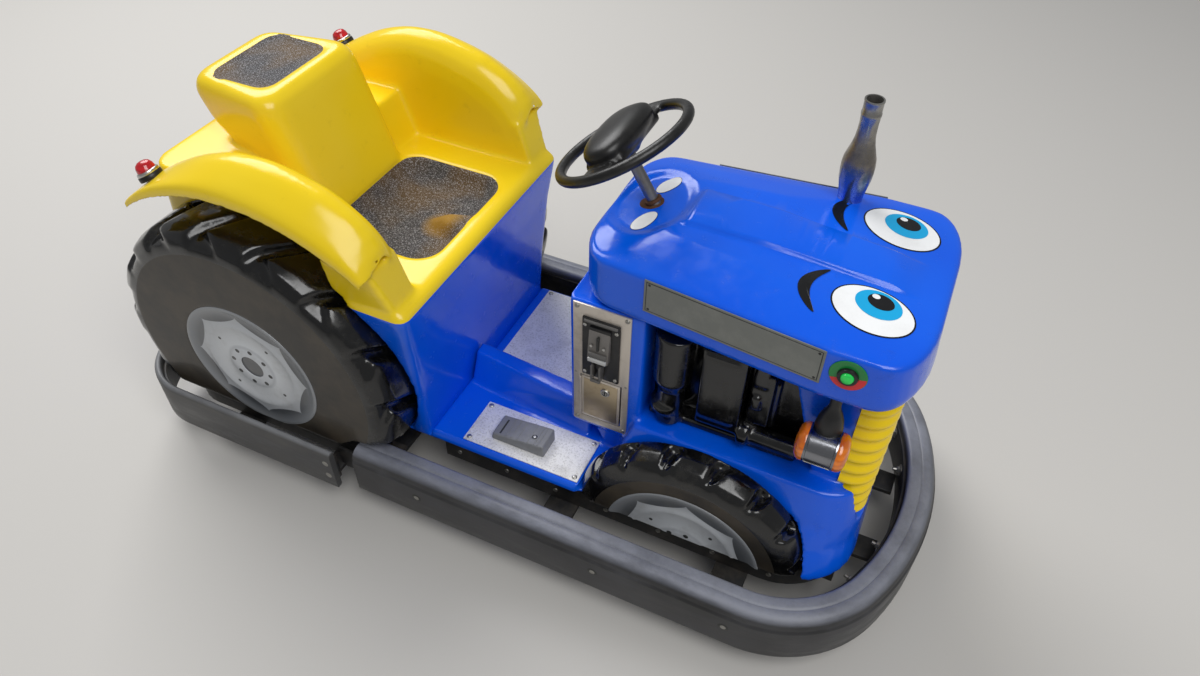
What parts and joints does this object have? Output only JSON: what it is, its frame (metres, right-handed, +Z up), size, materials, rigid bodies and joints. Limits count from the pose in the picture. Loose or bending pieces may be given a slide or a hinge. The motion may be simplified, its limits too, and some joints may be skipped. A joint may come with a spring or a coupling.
{
  "type": "bumper car",
  "caption": "Coin-operated battery bumper car shaped as a small tractor: rubber bumper, moulded blue and yellow body, mock tractor wheels, seat, steering wheel, footwells and coin box.",
  "frame": {"origin": "on the floor, midway between the bumpers, on the middle line of the car", "axes": "+X forward to the bonnet, +Y to the left of the driver, +Z up"},
  "size_m": [1.592, 0.752, 0.851],
  "materials": {
    "grp_yellow": "glossy moulded glass fibre, worn",
    "grp_blue": "glossy moulded glass fibre, worn",
    "bumper_rubber": "dusty moulded rubber",
    "strip_rubber": "dusty grey-black rubber strip",
    "band_steel": "painted steel strip",
    "frame_steel": "black painted steel tube",
    "battery_case": "grey plastic battery cases, blank",
    "seat_mat": "grained dark grey seat facing",
    "back_mat": "grained black facing",
    "engine_black": "black painted glass fibre",
    "tyre_black": "black painted glass fibre with moulded lugs",
    "wheel_print": "printed light grey wheel face, blank",
    "tread_plate": "bright tread plate",
    "pedal_rubber": "ribbed grey rubber pedal",
    "coin_steel": "brushed stainless steel with rust marks",
    "acceptor_plastic": "black plastic coin acceptor, blank",
    "door_steel": "brushed stainless door with round lock",
    "plate_grey": "grey blank name plate",
    "lamp_green": "small green lens on a blank ring",
    "lamp_red": "red lens in a chrome ring",
    "lamp_orange": "orange lenses on a black housing",
    "chrome_worn": "worn chromed plastic, tempered at the foot",
    "steer_steel": "bare steel",
    "steer_black": "black moulded polyurethane",
    "wheel_rubber": "solid rubber wheel"
  },
  "bodies": {
    "car": {"frame_rails": "frame_steel", "cross_tubes": "frame_steel", "outriggers": "frame_steel", "body_posts": "frame_steel", "steering_bridge": "frame_steel", "front_bumper": "bumper_rubber", "bumper_band": "band_steel", "rear_bumper": "strip_rubber", "rear_band": "band_steel", "batteries": "battery_case", "rear_body": "grp_blue", "seat_shell": "grp_yellow", "seat_mat": "seat_mat", "back_mat": "back_mat", "foot_tub": "grp_blue", "front_plinth": "grp_blue", "pedestal": "grp_blue", "nose_column": "grp_blue", "bonnet": "grp_blue", "grille": "grp_yellow", "engine_right": "engine_black", "engine_left": "engine_black", "rear_tyre_right": "tyre_black", "rear_tyre_left": "tyre_black", "front_tyre_right": "tyre_black", "front_tyre_left": "tyre_black", "wheel_faces": "wheel_print", "footplates": "tread_plate", "pedal": "pedal_rubber", "coin_panel": "coin_steel", "coin_acceptor": "acceptor_plastic", "name_plates": "plate_grey", "charge_lamp": "lamp_green", "tail_lamps": "lamp_red", "side_lamps": "lamp_orange", "exhaust": "chrome_worn", "column_tube": "steer_steel", "rear_axle": "steer_steel"},
    "steering_wheel": {"steering_wheel": "steer_black"},
    "steering_fork": {"steering_fork": "steer_steel"},
    "drive_wheel": {"drive_wheel": "wheel_rubber"},
    "rear_wheel_right": {"rear_wheel_right": "wheel_rubber"},
    "rear_wheel_left": {"rear_wheel_left": "wheel_rubber"},
    "cash_door": {"cash_door": "door_steel"}
  },
  "joints": [
    {"name": "steering", "type": "hinge", "parent": "car", "child": "steering_wheel", "pos_m": [0.208, 0, 0.669], "axis": [-0.5225, 0, 0.8526], "range_deg": [-120, 120]},
    {"name": "fork_steer", "type": "hinge", "parent": "car", "child": "steering_fork", "pos_m": [0.393, 0, 0.25], "axis": [0, 0, 1], "range_deg": [-60, 60]},
    {"name": "drive_spin", "type": "hinge", "parent": "steering_fork", "child": "drive_wheel", "pos_m": [0.393, 0, 0.11], "axis": [0, 1, 0], "continuous": true},
    {"name": "rear_right_spin", "type": "hinge", "parent": "car", "child": "rear_wheel_right", "pos_m": [-0.44, -0.092, 0.1], "axis": [0, 1, 0], "continuous": true},
    {"name": "rear_left_spin", "type": "hinge", "parent": "car", "child": "rear_wheel_left", "pos_m": [-0.44, 0.092, 0.1], "axis": [0, 1, 0], "continuous": true},
    {"name": "cash_door_hinge", "type": "hinge", "parent": "car", "child": "cash_door", "pos_m": [0.1515, -0.1613, 0.338], "axis": [0, 0, 1], "range_deg": [-100, 0]}
  ],
  "couplings": [
    {"joint": "fork_steer", "follows": "steering", "ratio": 0.5}
  ]
}
